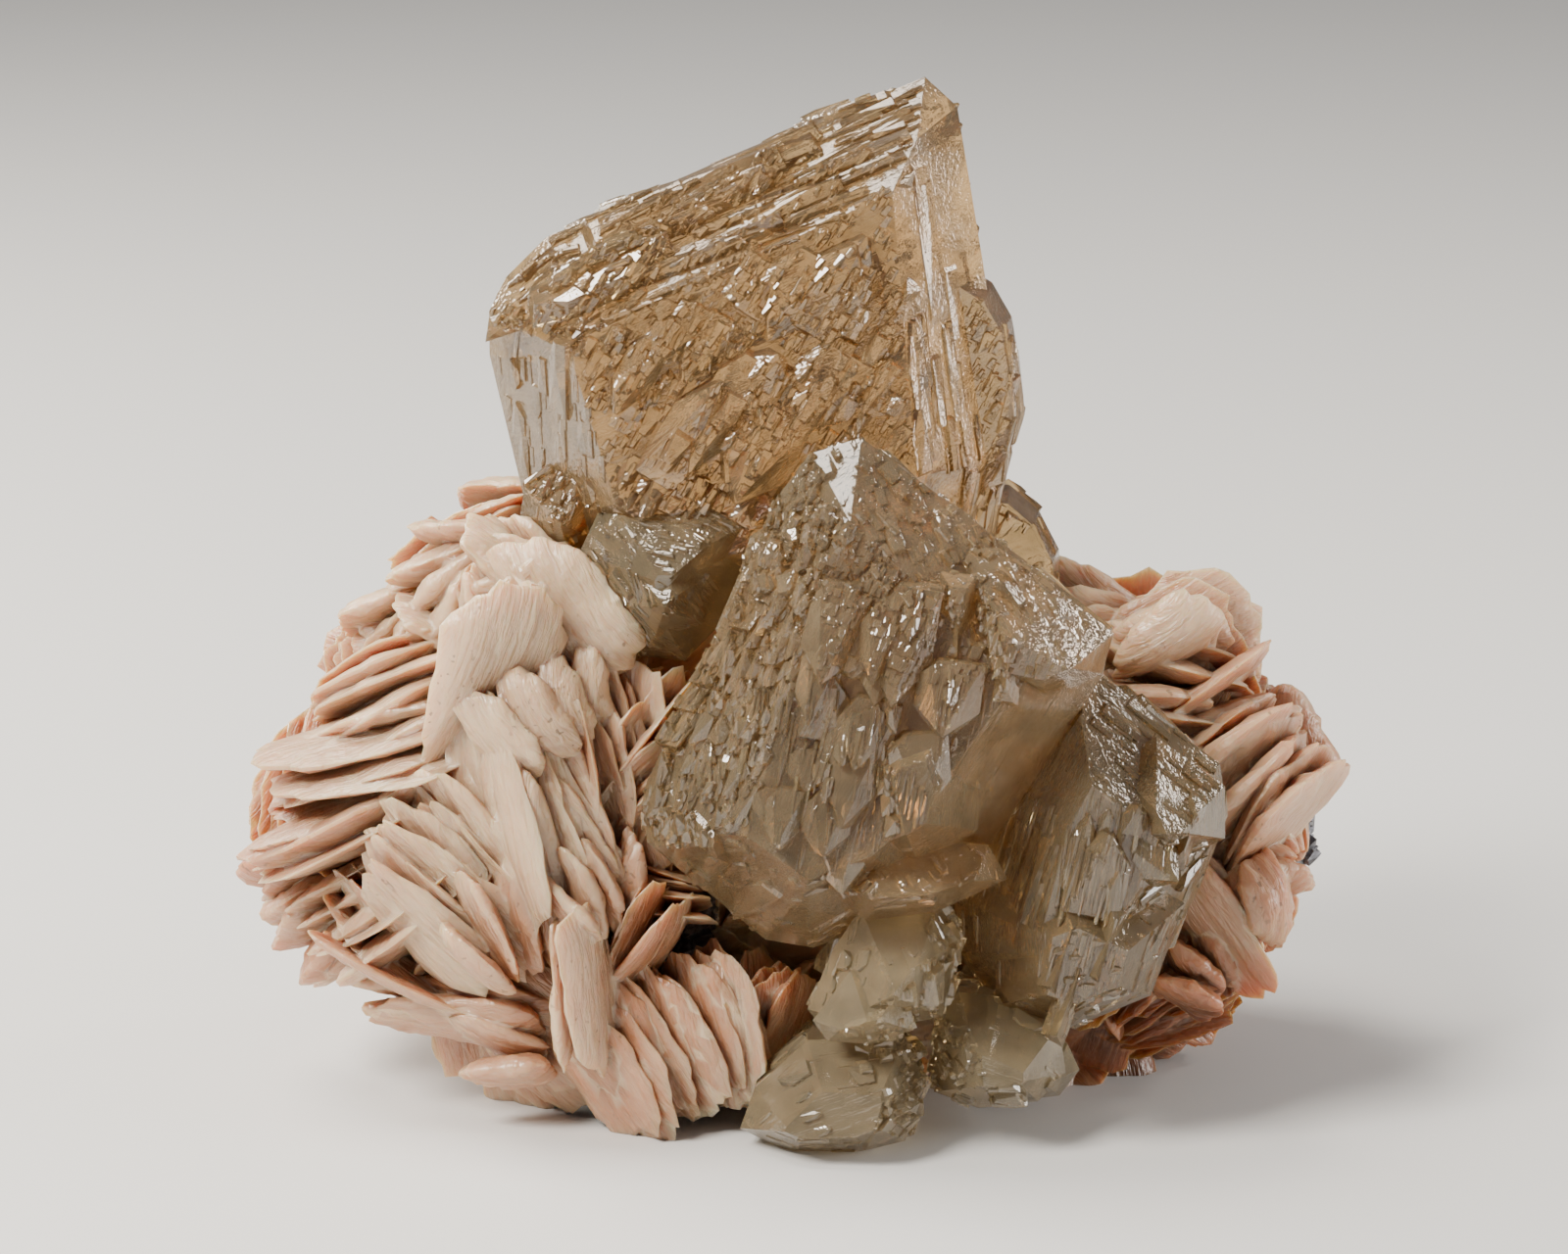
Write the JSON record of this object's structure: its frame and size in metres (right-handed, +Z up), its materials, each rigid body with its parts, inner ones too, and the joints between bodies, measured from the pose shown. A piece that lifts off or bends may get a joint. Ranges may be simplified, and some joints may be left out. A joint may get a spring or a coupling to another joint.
{
  "type": "cerussite on barite",
  "caption": "Hand-sized mineral specimen: smoky, translucent blocky cerussite crystals standing on a cockscomb matrix of white to orange bladed barite with specks of galena.",
  "frame": {"origin": "on the flat trimmed underside, below the middle of the specimen", "axes": "+X to the viewer's right, -Y towards the viewer in the specimen's display side, +Z up"},
  "size_m": [0.0907, 0.0597, 0.0837],
  "materials": {
    "barite": "waxy, satin, slightly translucent mineral; creamy white to pink with orange iron stains",
    "cerussite": "smoky brown, translucent, glassy to adamantine, with stepped and striated faces",
    "galena": "dark lead-grey metallic cubes"
  },
  "bodies": {
    "root": {"barite_matrix": "barite", "upper_cerussite": "cerussite", "front_cerussite": "cerussite", "lower_cerussite": "cerussite", "side_cerussite": "cerussite", "foot_cerussite_tip": "cerussite", "foot_cerussite_left": "cerussite", "foot_cerussite_right": "cerussite", "galena_left": "galena", "galena_right": "galena"}
  },
  "joints": []
}
